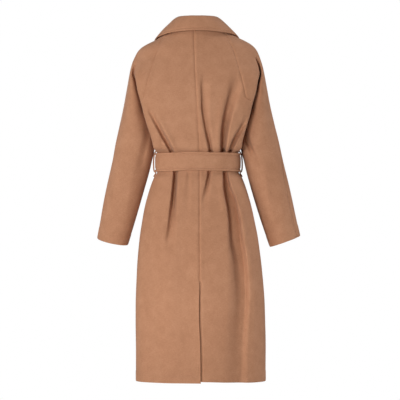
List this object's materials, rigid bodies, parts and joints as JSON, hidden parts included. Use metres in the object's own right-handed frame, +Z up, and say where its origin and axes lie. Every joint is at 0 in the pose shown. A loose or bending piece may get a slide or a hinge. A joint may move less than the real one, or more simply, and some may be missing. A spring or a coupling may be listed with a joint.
{
  "type": "belted wool coat",
  "caption": "Midi-length raglan wool coat with a wide turned-down collar, wrap front, tied belt, belt loops and back hem vent, filled out as if worn.",
  "frame": {"origin": "middle of the neck opening, level with the seam at the back of the neck, where the wearer's neck and shoulders carry the coat", "axes": "+Z up along the body, -Y towards the coat's front, +X towards the wearer's left"},
  "size_m": [0.6511, 0.3149, 1.1579],
  "materials": {
    "wool": "matte brushed camel wool"
  },
  "bodies": {
    "root": {"back_left": "wool", "back_right": "wool", "front_left": "wool", "front_right": "wool", "sleeve_back_left": "wool", "sleeve_back_right": "wool", "sleeve_front_left": "wool", "sleeve_front_right": "wool", "collar": "wool", "belt_band": "wool", "belt_knot": "wool", "belt_end_left": "wool", "belt_end_right": "wool", "belt_loop_left": "wool", "belt_loop_right": "wool"}
  },
  "joints": []
}
